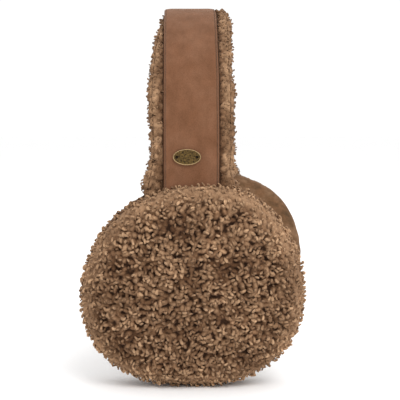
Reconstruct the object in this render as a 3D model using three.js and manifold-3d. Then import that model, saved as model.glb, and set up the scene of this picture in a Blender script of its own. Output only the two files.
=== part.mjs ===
// Curly wool earmuffs: two round pads joined by a sprung headband of suede over wool.
// Millimetres. X runs front to back of the head, Y from ear to ear, +Z up.
// The pads stand on z = 0. The near pad is at -Y, on the badge's side of the band.
// The soft band is a little twisted: its far half bends sideways, so the pads don't quite
// line up across the head.
import * as THREE from 'three';
import { mergeVertices } from 'three/addons/utils/BufferGeometryUtils.js';
import Module from 'manifold-3d';

// ---- Driving dimensions --------------------------------------------------------------

const TOUCH_GAP = 0.3;            // left between pieces that touch
const SIDE_GAP = 1;               // open line along the band's edges, beside suede and wool

// Headband: a circular arch whose legs lean in towards the pads.
const BAND_TOP = 197;             // height of the suede at the crown
const BAND_RADIUS = 80;           // outside radius of the arch, at the suede's surface
const TOE_IN = 4;                 // degrees that legs and pads lean in towards their feet
const LEG_LENGTH = 30;            // straight run below the arch, into the pad
const STRAP_WIDTH = 28;
const STRAP_THICKNESS = 2;
const STRAP_EDGE = 0.5;           // rounding of the suede's cut edges
const WOOL_BAND_WIDTH = 48;
const WOOL_BAND_THICKNESS = 11;
const WOOL_BAND_EDGE = 3.2;       // rounding of the wool's four long edges
const WOOL_BAND_DROP = 0.6;       // wool lies this far below the suede's surface
const ARCH_STEPS = 26;            // facets round the arch
const TWIST = 14;                 // how far the far pad lies towards +X of the near one

// Ear pads. Depth is measured outwards from the middle of the band's thickness.
const PAD_HALF_WIDTH = 58.1;      // along X
const PAD_HALF_HEIGHT = 53.6;     // along Z
const PAD_CENTRE_Z = 52;          // low enough that the resting wool is pressed a little flat
const PAD_SIDES = 40;             // facets round the pad
const SUEDE_WALL = 2;
const SEAM_DEPTH = -5;            // where suede meets wool round the rim

// Departures of a pad's outline from a true ellipse, each a wave round the rim:
// its number of crests, their height as a share of the radius, and where one crest points.
const OUTLINE_WAVES = [
  { crests: 1, share: 0.024, toward: -60 },
  { crests: 2, share: 0.020, toward: 47 },
  { crests: 3, share: 0.024, toward: -39 },
  { crests: 4, share: 0.015, toward: -45 },
];

// Half-section of the wool side of a pad, from the seam to the middle of the outer face.
// Reach is a share of the outline's radius, depth is in millimetres.
const WOOL_SECTION = [
  { reach: 0.975, depth: -5.0 },
  { reach: 0.990, depth: -1.0 },
  { reach: 1.000, depth: 5.0 },
  { reach: 0.985, depth: 10.5 },
  { reach: 0.930, depth: 15.0 },
  { reach: 0.800, depth: 18.6 },
  { reach: 0.560, depth: 20.8 },
  { reach: 0.280, depth: 21.7 },
  { reach: 0.000, depth: 22.0 },
];

// Half-section of the puffed suede ear side, from its middle to the seam.
const SUEDE_SECTION = [
  { reach: 0.000, depth: -18.6 },
  { reach: 0.300, depth: -18.3 },
  { reach: 0.560, depth: -17.4 },
  { reach: 0.760, depth: -15.6 },
  { reach: 0.900, depth: -12.2 },
  { reach: 0.965, depth: -8.2 },
  { reach: 0.975, depth: -5.0 },
];

// Badge on the near leg.
const BADGE_WIDTH = 14;
const BADGE_HEIGHT = 8;
const BADGE_THICKNESS = 1.2;
const BADGE_RIM = 0.8;            // width of the raised rim
const BADGE_FIELD_DROP = 0.45;    // how far the field lies below the rim
const BADGE_HOLE_RADIUS = 0.6;
const BADGE_HOLE_SPACING = 10;
const BADGE_ASIDE = -2.3;         // it sits a little to one side of the strip's middle
const BADGE_Z = 117;
const BADGE_SIDES = 32;

// ---- Worked out from them ------------------------------------------------------------

const lean = THREE.MathUtils.degToRad(TOE_IN);
const archCentreZ = BAND_TOP - BAND_RADIUS;
const woolOuterRadius = BAND_RADIUS - WOOL_BAND_DROP;
const woolInnerRadius = woolOuterRadius - WOOL_BAND_THICKNESS;
const midRadius = (BAND_RADIUS + woolInnerRadius) / 2;
const legTop = { y: midRadius * Math.cos(lean), z: archCentreZ - midRadius * Math.sin(lean) };
const padCentreY = legTop.y - (legTop.z - PAD_CENTRE_Z) * Math.tan(lean);
const archRun = midRadius * (Math.PI / 2 + lean);
const runToPad = archRun + (legTop.z - PAD_CENTRE_Z) / Math.cos(lean);

// ---- Materials -----------------------------------------------------------------------

function finish(colour, roughness, metalness = 0) {
  return new THREE.MeshStandardMaterial({ color: colour, roughness, metalness });
}

const suede = finish(0x8d644a, 0.92);
const wool = finish(0x80624a, 0.97);
const brass = finish(0x6f6142, 0.5, 0.85);

// ---- Joining and cutting -------------------------------------------------------------

const wasm = await Module();
wasm.setup();

function toSolid(geometry) {
  const bare = geometry.clone();
  bare.deleteAttribute('normal');
  bare.deleteAttribute('uv');
  const merged = mergeVertices(bare, 1e-4);
  return new wasm.Manifold(new wasm.Mesh({
    numProp: 3,
    vertProperties: new Float32Array(merged.attributes.position.array),
    triVerts: new Uint32Array(merged.index.array),
  }));
}

function toGeometry(solid) {
  const mesh = solid.getMesh();
  const geometry = new THREE.BufferGeometry();
  geometry.setAttribute('position', new THREE.BufferAttribute(mesh.vertProperties, 3));
  geometry.setIndex(new THREE.BufferAttribute(mesh.triVerts, 1));
  geometry.computeVertexNormals();
  return geometry;
}

// ---- Headband ------------------------------------------------------------------------

// Where the band's middle lies along X, for a point of the band given by its y and z: level
// with the near pad over the near half, then bending ever more towards the far pad.
function bandX(y, z) {
  const angle = Math.atan2(z - archCentreZ, y);
  const onArch = angle > -lean && angle < Math.PI + lean;
  const belowArch = (legTop.z - z) / Math.cos(lean);
  const run = onArch ? midRadius * (Math.PI / 2 - angle) : archRun + belowArch;
  const bend = y > 0 && run > 0 ? (run / runToPad) ** 2 : 0;
  return TWIST * (bend - 0.5);
}

// One edge of the arch seen along X, as points from the near foot over the crown to the far
// foot: a straight leg, an arc that passes the horizontal by the lean, and the other leg.
function archLine(radius, legLength) {
  const points = [];
  for (let step = 0; step <= ARCH_STEPS; step += 1) {
    const angle = Math.PI + lean - (step / ARCH_STEPS) * (Math.PI + 2 * lean);
    const y = radius * Math.cos(angle);
    const z = archCentreZ + radius * Math.sin(angle);
    points.push(new THREE.Vector2(y, z));
  }
  const drop = new THREE.Vector2(Math.sin(lean), -Math.cos(lean)).multiplyScalar(legLength);
  const nearFoot = points[0].clone().add(drop);
  const farFoot = new THREE.Vector2(-nearFoot.x, nearFoot.y);
  return [nearFoot, ...points, farFoot];
}

// A strip that follows the arch between two radii, with its edges rounded all round.
function archStrip({ outer, inner, width, edge, legLength }) {
  const outline = new THREE.Shape([
    ...archLine(outer - edge, legLength),
    ...archLine(inner + edge, legLength).reverse(),
  ]);
  const strip = new THREE.ExtrudeGeometry(outline, {
    depth: width - 2 * edge,
    bevelEnabled: edge > 0,
    bevelThickness: edge,
    bevelSize: edge,
    bevelSegments: 2,
  });
  strip.translate(0, 0, -(width - 2 * edge) / 2);
  // The outline lies in the sheet's own plane: turn its x to Y, its y to Z, its depth to X.
  const upright = new THREE.Matrix4().makeBasis(
    new THREE.Vector3(0, 1, 0),
    new THREE.Vector3(0, 0, 1),
    new THREE.Vector3(1, 0, 0),
  );
  strip.applyMatrix4(upright);
  const points = strip.attributes.position;
  for (let i = 0; i < points.count; i += 1) {
    points.setX(i, points.getX(i) + bandX(points.getY(i), points.getZ(i)));
  }
  return strip;
}

function suedeStrap() {
  return archStrip({
    outer: BAND_RADIUS,
    inner: BAND_RADIUS - STRAP_THICKNESS,
    width: STRAP_WIDTH,
    edge: STRAP_EDGE,
    legLength: LEG_LENGTH,
  });
}

// The wool is one thick strip with a shallow channel that the suede lies in.
function woolBand() {
  const strip = archStrip({
    outer: woolOuterRadius,
    inner: woolInnerRadius,
    width: WOOL_BAND_WIDTH,
    edge: WOOL_BAND_EDGE,
    legLength: LEG_LENGTH,
  });
  const channel = archStrip({
    outer: BAND_RADIUS + STRAP_THICKNESS,
    inner: BAND_RADIUS - STRAP_THICKNESS - TOUCH_GAP,
    width: STRAP_WIDTH + 2 * SIDE_GAP,
    edge: 0,
    legLength: LEG_LENGTH + WOOL_BAND_EDGE + STRAP_THICKNESS,
  });
  return toGeometry(toSolid(strip).subtract(toSolid(channel)));
}

// The room that the band's ends take up inside the pads.
function bandPocket() {
  return toSolid(archStrip({
    outer: BAND_RADIUS + TOUCH_GAP,
    inner: woolInnerRadius - TOUCH_GAP,
    width: WOOL_BAND_WIDTH + 2 * SIDE_GAP,
    edge: WOOL_BAND_EDGE,
    legLength: LEG_LENGTH + TOUCH_GAP,
  }));
}

// ---- Ear pads ------------------------------------------------------------------------

function outlineRadius(angle) {
  const ellipse = 1 / Math.hypot(Math.cos(angle) / PAD_HALF_WIDTH, Math.sin(angle) / PAD_HALF_HEIGHT);
  const waves = OUTLINE_WAVES.map(({ crests, share, toward }) => (
    share * Math.cos(crests * (angle - THREE.MathUtils.degToRad(toward)))
  ));
  return ellipse * waves.reduce((total, wave) => total + wave, 1);
}

// Turns a closed half-section into a pad form. Side is -1 for the near pad and +1 for the
// far one, and depth runs outwards on both.
function padForm(section, side) {
  const profile = section.map(({ reach, depth }) => new THREE.Vector2(reach, depth));
  const form = new THREE.LatheGeometry(profile, PAD_SIDES);
  const points = form.attributes.position;
  for (let i = 0; i < points.count; i += 1) {
    const x = points.getX(i);
    const z = side * points.getZ(i);
    const radius = outlineRadius(Math.atan2(z, x));
    points.setXYZ(i, x * radius, side * points.getY(i), z * radius);
  }
  return toSolid(form);
}

// The suede's section set in by a distance, which is the surface that lies behind it.
function setIn(section, distance) {
  return section.map(({ reach, depth }, row) => {
    const before = section[Math.max(row - 1, 0)];
    const after = section[Math.min(row + 1, section.length - 1)];
    const across = (after.reach - before.reach) * PAD_HALF_HEIGHT;
    const along = after.depth - before.depth;
    const length = Math.hypot(across, along);
    return {
      reach: Math.max(reach - (distance * along) / length / PAD_HALF_HEIGHT, 0),
      depth: depth + (distance * across) / length,
    };
  });
}

// Cuts and placing that every pad piece shares: the band's pocket, the flat foot, the lean.
function placePadPiece(piece, side) {
  const placed = piece
    .rotate([side * -TOE_IN, 0, 0])
    .translate([side * TWIST / 2, side * padCentreY, PAD_CENTRE_Z]);
  const floorSize = 4 * PAD_HALF_WIDTH;
  const ground = new THREE.BoxGeometry(floorSize, floorSize, floorSize);
  ground.translate(0, side * padCentreY, -floorSize / 2);
  return toGeometry(placed.subtract(bandPocket()).subtract(toSolid(ground)));
}

function padWool(side) {
  const filling = setIn(SUEDE_SECTION, SUEDE_WALL + TOUCH_GAP);
  filling[0].reach = 0;
  filling[filling.length - 1].depth = SEAM_DEPTH + TOUCH_GAP;
  const woolEdge = WOOL_SECTION.map(({ reach, depth }) => ({
    reach,
    depth: Math.max(depth, SEAM_DEPTH + TOUCH_GAP),
  }));
  return placePadPiece(padForm([...filling, ...woolEdge], side), side);
}

function padSuede(side) {
  const lining = setIn(SUEDE_SECTION, SUEDE_WALL);
  lining[0].reach = 0;
  lining[lining.length - 1].depth = SEAM_DEPTH;
  return placePadPiece(padForm([...SUEDE_SECTION, ...lining.reverse()], side), side);
}

// ---- Badge ---------------------------------------------------------------------------

// An oval disc standing out from depth `from` to depth `to` in front of the strip.
function ovalDisc(halfWidth, halfHeight, from, to) {
  const disc = new THREE.CylinderGeometry(1, 1, to - from, BADGE_SIDES);
  disc.scale(halfWidth, 1, halfHeight);
  disc.translate(0, -(from + to) / 2, 0);
  return toSolid(disc);
}

function badgePlate() {
  const halfWidth = BADGE_WIDTH / 2;
  const halfHeight = BADGE_HEIGHT / 2;
  const fieldDepth = BADGE_THICKNESS - BADGE_FIELD_DROP;
  let plate = ovalDisc(halfWidth, halfHeight, 0, BADGE_THICKNESS).subtract(
    ovalDisc(halfWidth - BADGE_RIM, halfHeight - BADGE_RIM, fieldDepth, BADGE_THICKNESS + 1),
  );
  for (const side of [-1, 1]) {
    const hole = ovalDisc(BADGE_HOLE_RADIUS, BADGE_HOLE_RADIUS, -1, BADGE_THICKNESS + 1);
    plate = plate.subtract(hole.translate([side * BADGE_HOLE_SPACING / 2, 0, 0]));
  }
  return toGeometry(plate);
}

// ---- Assembly ------------------------------------------------------------------------

function part(name, geometry, material) {
  const mesh = new THREE.Mesh(geometry, material);
  mesh.name = name;
  return mesh;
}

const earmuffs = new THREE.Group();

const headband = new THREE.Group();
headband.add(part('suede_strap', suedeStrap(), suede));
headband.add(part('wool_band', woolBand(), wool));
const badge = part('badge_plate', badgePlate(), brass);
badge.position.set(BADGE_ASIDE - TWIST / 2, -(BAND_RADIUS + TOUCH_GAP), BADGE_Z);
headband.add(badge);
earmuffs.add(headband);

for (const { name, side } of [{ name: 'near', side: -1 }, { name: 'far', side: 1 }]) {
  const pad = new THREE.Group();
  pad.add(part(`${name}_pad_wool`, padWool(side), wool));
  pad.add(part(`${name}_pad_suede`, padSuede(side), suede));
  earmuffs.add(pad);
}

export default earmuffs;
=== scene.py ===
"""Curly wool earmuffs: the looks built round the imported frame, in metres."""

import logging
import math
from dataclasses import dataclass
from enum import Enum

import bmesh
import bpy
import numpy as np
from mathutils import Matrix, Vector, noise
from mathutils.kdtree import KDTree


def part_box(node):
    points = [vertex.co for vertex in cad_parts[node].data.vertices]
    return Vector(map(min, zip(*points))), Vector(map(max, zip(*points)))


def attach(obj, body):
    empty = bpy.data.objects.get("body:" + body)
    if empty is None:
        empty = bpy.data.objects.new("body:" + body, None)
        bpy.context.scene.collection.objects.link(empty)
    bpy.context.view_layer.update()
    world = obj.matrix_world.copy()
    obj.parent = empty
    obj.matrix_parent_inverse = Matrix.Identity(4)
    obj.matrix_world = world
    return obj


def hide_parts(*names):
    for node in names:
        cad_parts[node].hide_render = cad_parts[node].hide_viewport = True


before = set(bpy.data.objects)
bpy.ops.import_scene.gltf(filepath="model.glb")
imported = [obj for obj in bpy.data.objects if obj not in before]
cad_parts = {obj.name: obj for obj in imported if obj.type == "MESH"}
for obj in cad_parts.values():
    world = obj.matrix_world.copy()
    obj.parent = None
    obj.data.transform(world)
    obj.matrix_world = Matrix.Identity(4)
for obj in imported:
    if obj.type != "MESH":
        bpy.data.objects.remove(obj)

log = logging.getLogger("earmuffs")
MM = 0.001
BODY = "root"
UNCHANGED = (1.0, 1.0, 1.0)  # a tint that leaves a colour as it is
SMALL = 1e-6  # a distance in metres that stands for none

Pair = tuple[float, float]
Triple = tuple[float, float, float]
Rows = list[Pair]
Socket = bpy.types.NodeSocket


class Slot(Enum):
    """The record's material slots."""

    SUEDE = "suede"
    WOOL = "wool"
    BRASS = "antique_brass"


class Side(Enum):
    """Which ear a pad belongs to, with its direction along Y."""

    NEAR = -1
    FAR = 1


# ---- Mesh helpers --------------------------------------------------------------------


def make_object(name: str, mesh: bpy.types.Mesh) -> bpy.types.Object:
    """Puts a mesh into the scene.

    Args:
        name: The piece's name.
        mesh: Its finished mesh, in the row frame.

    Returns:
        The new object, at the origin.
    """
    mesh.name = name
    piece = bpy.data.objects.new(name, mesh)
    bpy.context.scene.collection.objects.link(piece)
    return piece


def mesh_from(bm: bmesh.types.BMesh, name: str, smooth: bool = True) -> bpy.types.Mesh:
    """Turns a bmesh into a mesh and frees it.

    Args:
        bm: The bmesh.
        name: The mesh's name.
        smooth: Whether its faces are shaded smooth.

    Returns:
        The new mesh.
    """
    for face in bm.faces:
        face.smooth = smooth
    mesh = bpy.data.meshes.new(name)
    bm.to_mesh(mesh)
    bm.free()
    return mesh


def with_modifiers(piece: bpy.types.Object) -> bpy.types.Object:
    """Applies a piece's modifiers to its mesh.

    Args:
        piece: The object, whose modifiers are removed.

    Returns:
        The same object.
    """
    graph = bpy.context.evaluated_depsgraph_get()
    applied = bpy.data.meshes.new_from_object(piece.evaluated_get(graph))
    piece.modifiers.clear()
    piece.data = applied
    return piece


def coordinates(mesh: bpy.types.Mesh) -> np.ndarray:
    """Gives a mesh's points as an array of rows.

    Args:
        mesh: The mesh.

    Returns:
        One row of x, y, z a vertex.
    """
    points = np.empty(len(mesh.vertices) * 3)
    mesh.vertices.foreach_get("co", points)
    return points.reshape(-1, 3)


def mesh_normals(mesh: bpy.types.Mesh) -> np.ndarray:
    """Gives a mesh's smooth normals as an array of rows.

    Args:
        mesh: The mesh.

    Returns:
        One row of x, y, z a vertex.
    """
    normals = np.empty(len(mesh.vertices) * 3, np.float32)
    mesh.vertex_normals.foreach_get("vector", normals)
    return normals.reshape(-1, 3).astype(float)


def set_attribute(mesh: bpy.types.Mesh, name: str, values: np.ndarray) -> None:
    """Writes a number or a vector a vertex for a material to read.

    Args:
        mesh: The mesh.
        name: The attribute's name.
        values: One number, or one row of three, for each vertex.
    """
    kind, part = ("FLOAT", "value") if values.ndim == 1 else ("FLOAT_VECTOR", "vector")
    layer = mesh.attributes.new(name, kind, "POINT")
    layer.data.foreach_set(part, np.ascontiguousarray(values, np.float32).ravel())


def swell(point: Vector, size: float, seed: float) -> float:
    """Gives smooth noise from about -1 to 1, in lumps of a size; the seed moves them."""
    return noise.noise(point / size + Vector((seed, 2.7 * seed, -1.3 * seed)))


def swells(points: np.ndarray, size: float, seed: float) -> np.ndarray:
    """Gives the same smooth noise at many points, one for each row of x, y, z."""
    return np.array([swell(Vector(point), size, seed) for point in points])


def hump(value: float, middle: float, width: float) -> float:
    """Gives a smooth hump that is 1 at its middle and fades over its width."""
    return math.exp(-(((value - middle) / width) ** 2))


def slope(value: float, start: float, over: float) -> float:
    """Climbs evenly from 0 at a start to 1 at the end of a stretch."""
    return min(1.0, max(0.0, (value - start) / over))


def unit(rows: np.ndarray) -> np.ndarray:
    """Brings each row of x, y, z to length 1."""
    return rows / np.linalg.norm(rows, axis=1, keepdims=True)


def flattened(ways: np.ndarray, normals: np.ndarray) -> np.ndarray:
    """Takes out of each way what points along its normal."""
    return ways - normals * (ways * normals).sum(axis=1, keepdims=True)


def tree_of(points: np.ndarray) -> KDTree:
    """Sorts points so that the nearest ones are found quickly.

    Args:
        points: One row of x, y, z a point.

    Returns:
        The tree, which gives each point's row number.
    """
    tree = KDTree(len(points))
    for number, point in enumerate(points):
        tree.insert(point, number)
    tree.balance()
    return tree


def extruded(
    bm: bmesh.types.BMesh, faces: list[bmesh.types.BMFace], closed: bool = False
) -> tuple[list[bmesh.types.BMVert], bmesh.types.BMFace]:
    """Extrudes faces, leaving the new ones where the old ones were.

    Args:
        bm: The bmesh.
        faces: What is extruded.
        closed: Whether the old faces stay, to close the shape behind.

    Returns:
        The new vertices, and the first new face.
    """
    grown = bmesh.ops.extrude_face_region(bm, geom=faces, use_keep_orig=closed)["geom"]
    corners = [part for part in grown if isinstance(part, bmesh.types.BMVert)]
    face = next(part for part in grown if isinstance(part, bmesh.types.BMFace))
    return corners, face


def bevelled(
    bm: bmesh.types.BMesh, edges: list[bmesh.types.BMEdge], width: float, steps: int
) -> None:
    """Rounds edges of a shape.

    Args:
        bm: The bmesh.
        edges: What is rounded.
        width: How far from each edge the rounding starts.
        steps: How many faces it has.
    """
    bmesh.ops.bevel(
        bm, geom=edges, offset=width, offset_type="OFFSET", segments=steps, profile=0.5,
        affect="EDGES", material=-1,
    )


def dress(piece: bpy.types.Object, finish: bpy.types.Material) -> None:
    """Gives a new piece its body and material.

    Args:
        piece: The finished piece.
        finish: Its material.
    """
    piece.data.materials.clear()
    piece.data.materials.append(finish)
    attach(piece, BODY)
    log.info("%s: %d faces", piece.name, len(piece.data.polygons))


# ---- Finishes ------------------------------------------------------------------------


class Shader:
    """A material being wired, with short ways to add its nodes."""

    FIBRE_SCALE = 2.4

    def __init__(self, name: str) -> None:
        """Starts a material with one Principled surface.

        Args:
            name: The material's name.
        """
        self.material = bpy.data.materials.new(name)
        self.material.use_nodes = True
        self.tree = self.material.node_tree
        self.surface = self.tree.nodes["Principled BSDF"]
        self.place = self.tree.nodes.new("ShaderNodeTexCoord").outputs["Object"]

    def link(self, source: Socket, target: Socket) -> None:
        """Joins two sockets."""
        self.tree.links.new(source, target)

    def feed(self, socket: Socket, value: Socket | Triple | float) -> None:
        """Gives a socket its value, which is constant or comes out of another socket.

        Args:
            socket: The socket.
            value: A number, a colour, or the socket that it comes from.
        """
        if isinstance(value, Socket):
            self.link(value, socket)
        else:
            socket.default_value = (*value, 1.0) if isinstance(value, tuple) else value

    def set(self, **values: Socket | Triple | float) -> None:
        """Feeds the surface's own sockets, whose names are given with underscores."""
        for name, value in values.items():
            self.feed(self.surface.inputs[name.replace("_", " ")], value)

    def attribute(self, name: str) -> Socket:
        """Reads the number that a mesh holds for each vertex.

        Args:
            name: The attribute's name.

        Returns:
            The number.
        """
        node = self.tree.nodes.new("ShaderNodeAttribute")
        node.attribute_name = name
        return node.outputs["Fac"]

    def noise(
        self,
        size: float,
        detail: float = 3.0,
        stretch: Triple = (1.0, 1.0, 1.0),
    ) -> Socket:
        """Adds noise on the piece's own coordinates.

        Args:
            size: The width of its lumps in metres.
            detail: How many finer layers it has.
            stretch: How much longer the lumps are along each axis.

        Returns:
            The noise's value, from 0 to 1.
        """
        mapping = self.tree.nodes.new("ShaderNodeMapping")
        mapping.inputs["Scale"].default_value = [1 / share for share in stretch]
        texture = self.tree.nodes.new("ShaderNodeTexNoise")
        texture.inputs["Scale"].default_value = 1 / size
        texture.inputs["Detail"].default_value = detail
        self.link(self.place, mapping.inputs["Vector"])
        self.link(mapping.outputs["Vector"], texture.inputs["Vector"])
        return texture.outputs["Fac"]

    def strand_noise(self) -> Socket:
        """Adds noise drawn out along a curl, from its strand coordinates.

        Returns:
            The noise's value, from 0 to 1.
        """
        node = self.tree.nodes.new("ShaderNodeAttribute")
        node.attribute_name = "strand"
        texture = self.tree.nodes.new("ShaderNodeTexNoise")
        texture.inputs["Scale"].default_value = self.FIBRE_SCALE
        texture.inputs["Detail"].default_value = 2.0
        self.link(node.outputs["Vector"], texture.inputs["Vector"])
        return texture.outputs["Fac"]

    def ramp(
        self, value: Socket, stops: list[tuple[float, Triple]]
    ) -> Socket:
        """Turns a number into a colour.

        Args:
            value: The number.
            stops: Where each colour stands, and the colour.

        Returns:
            The colour.
        """
        node = self.tree.nodes.new("ShaderNodeValToRGB")
        steps = node.color_ramp.elements
        while len(steps) < len(stops):
            steps.new(0.5)
        for step, (place, colour) in zip(steps, stops):
            step.position = place
            step.color = (*colour, 1.0)
        self.link(value, node.inputs["Fac"])
        return node.outputs["Color"]

    def mix(
        self,
        share: Socket | float,
        first: Socket | Triple,
        second: Socket | Triple,
        blend: str = "MIX",
    ) -> Socket:
        """Mixes two colours.

        Args:
            share: How much of the second there is.
            first: The first colour.
            second: The second colour.
            blend: Blender's name for the way of mixing.

        Returns:
            The mixed colour.
        """
        node = self.tree.nodes.new("ShaderNodeMix")
        node.data_type = "RGBA"
        node.blend_type = blend
        sockets = (node.inputs[0], node.inputs[6], node.inputs[7])
        for socket, value in zip(sockets, (share, first, second)):
            self.feed(socket, value)
        return node.outputs[2]

    def maths(self, operation: str, first: Socket | float, second: Socket | float) -> Socket:
        """Adds a sum of two numbers.

        Args:
            operation: Blender's name for the sum.
            first: The first number.
            second: The second number.

        Returns:
            The result.
        """
        node = self.tree.nodes.new("ShaderNodeMath")
        node.operation = operation
        for socket, value in zip(node.inputs, (first, second)):
            self.feed(socket, value)
        return node.outputs[0]

    def bump(self, height: Socket, depth: float, strength: float = 1.0) -> None:
        """Raises the surface's shading by a height.

        Args:
            height: The height, from 0 to 1.
            depth: What 1 stands for, in metres.
            strength: How much of the effect is kept.
        """
        node = self.tree.nodes.new("ShaderNodeBump")
        node.inputs["Distance"].default_value = depth
        node.inputs["Strength"].default_value = strength
        self.link(height, node.inputs["Height"])
        self.link(node.outputs["Normal"], self.surface.inputs["Normal"])


@dataclass(frozen=True)
class WoolFinish:
    """Curled wool: dark low down, partly its roots' own colour and partly painted shade in the gaps,
    tan at the tips, each lock a little different.
    """

    # root is partly the wool's own dark roots and partly painted shade for the gaps between curls
    # and nubs.
    root: Triple = (0.030, 0.013, 0.006)
    middle: Triple = (0.160, 0.083, 0.042)
    tip: Triple = (0.420, 0.265, 0.155)
    dull: Triple = (0.55, 0.50, 0.46)
    pale: Triple = (1.38, 1.36, 1.34)
    fibre_dark: Triple = (0.72, 0.69, 0.66)
    fibre_light: Triple = (1.24, 1.23, 1.22)
    fibre_depth: float = 0.16 * MM

    def build(self) -> bpy.types.Material:
        """Makes the material from the locks' rise, tone and strand coordinates.

        Returns:
            The material.
        """
        shader = Shader("wool_finish")
        # Painted shade: the rise ramp darkens the wool low down, so the gaps between curls and nubs
        # are painted dark besides the roots' own colour.
        along = shader.ramp(
            shader.attribute("rise"), [(0.0, self.root), (0.35, self.middle), (1.0, self.tip)]
        )
        # The tone ramp also carries the painted shade and painted light that partings, tufts' edges
        # and the growth's shade put into the tone.
        tone = shader.ramp(
            shader.attribute("tone"), [(0.0, self.dull), (0.5, UNCHANGED), (1.0, self.pale)]
        )
        toned = shader.mix(1.0, along, tone, "MULTIPLY")
        fibres = shader.strand_noise()
        strands = shader.ramp(fibres, [(0.32, self.fibre_dark), (0.68, self.fibre_light)])
        shader.set(Base_Color=shader.mix(1.0, toned, strands, "MULTIPLY"))
        shader.set(Roughness=0.95, Sheen_Weight=0.04, Sheen_Roughness=0.6, Specular_IOR_Level=0.1)
        shader.bump(fibres, self.fibre_depth)
        return shader.material


@dataclass(frozen=True)
class SuedeFinish:
    """Brushed suede: a soft nap with mottled patches, painted paler as a highlight where the mesh
    marks a rolled edge or ridge.
    """

    dark: Triple
    middle: Triple
    light: Triple
    name: str
    patch_size: float
    streak_size: float
    streak_strength: float
    streak_stretch: Triple
    streak_dark: Triple = (0.62, 0.60, 0.52)
    streak_light: Triple = (1.32, 1.28, 1.26)
    nap_dark: Triple = (0.86, 0.84, 0.82)
    nap_light: Triple = (1.12, 1.12, 1.12)
    nap_size: float = 0.6 * MM
    nap_depth: float = 0.12 * MM
    highlight_share: float = 0.5
    sheen_tint: Triple = (0.9, 0.72, 0.58)

    def build(self) -> bpy.types.Material:
        """Makes the material, with the painted highlight paler where the mesh says so.

        Returns:
            The material.
        """
        shader = Shader(self.name)
        patches = shader.ramp(
            shader.noise(self.patch_size, 5.0),
            [(0.34, self.dark), (0.50, self.middle), (0.66, self.light)],
        )
        streaks = shader.ramp(
            shader.noise(self.streak_size, 3.0, self.streak_stretch),
            [(0.36, self.streak_dark), (0.50, UNCHANGED), (0.66, self.streak_light)],
        )
        streaked = shader.mix(self.streak_strength, patches, streaks, "MULTIPLY")
        nap = shader.noise(self.nap_size, 3.0)
        grains = shader.ramp(nap, [(0.25, self.nap_dark), (0.75, self.nap_light)])
        brushed = shader.mix(1.0, streaked, grains, "MULTIPLY")
        # Painted highlight: the mesh marks where the suede is painted paler.
        rub = shader.maths("MULTIPLY", shader.attribute("rub"), self.highlight_share)
        shader.set(Base_Color=shader.mix(rub, brushed, self.light), Sheen_Tint=self.sheen_tint)
        shader.set(Roughness=0.95, Sheen_Weight=0.12, Sheen_Roughness=0.5, Specular_IOR_Level=0.1)
        shader.bump(nap, self.nap_depth)
        return shader.material


@dataclass(frozen=True)
class BrassFinish:
    """Antique brass: dark and olive in the low places, rubbed bright on the high ones."""

    dark: Triple = (0.022, 0.014, 0.006)
    worn: Triple = (0.135, 0.083, 0.024)
    bright: Triple = (0.33, 0.225, 0.11)
    grain_size: float = 0.9 * MM
    grain_depth: float = 0.3 * MM
    grain_share: float = 0.5
    height_share: float = 0.7
    roughness: float = 0.68
    polish: float = 0.2

    def build(self) -> bpy.types.Material:
        """Makes the material from how high each place on the plate stands.

        Returns:
            The material.
        """
        shader = Shader("antique_brass_finish")
        grain = shader.noise(self.grain_size, 3.0)
        standing = shader.maths("MULTIPLY", shader.attribute("rub"), self.height_share)
        high = shader.maths("ADD", standing, shader.maths("MULTIPLY", grain, self.grain_share))
        colour = shader.ramp(high, [(0.17, self.dark), (0.31, self.worn), (0.95, self.bright)])
        polished = shader.maths("MULTIPLY", high, self.polish)
        roughness = shader.maths("SUBTRACT", self.roughness, polished)
        shader.set(Base_Color=colour, Roughness=roughness, Metallic=0.8)
        shader.bump(grain, self.grain_depth)
        return shader.material


# ---- Wool ----------------------------------------------------------------------------

TRIES = 9  # points tried for each one that could fit at the spacing
PATCH_SEED = 5.0


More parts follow.
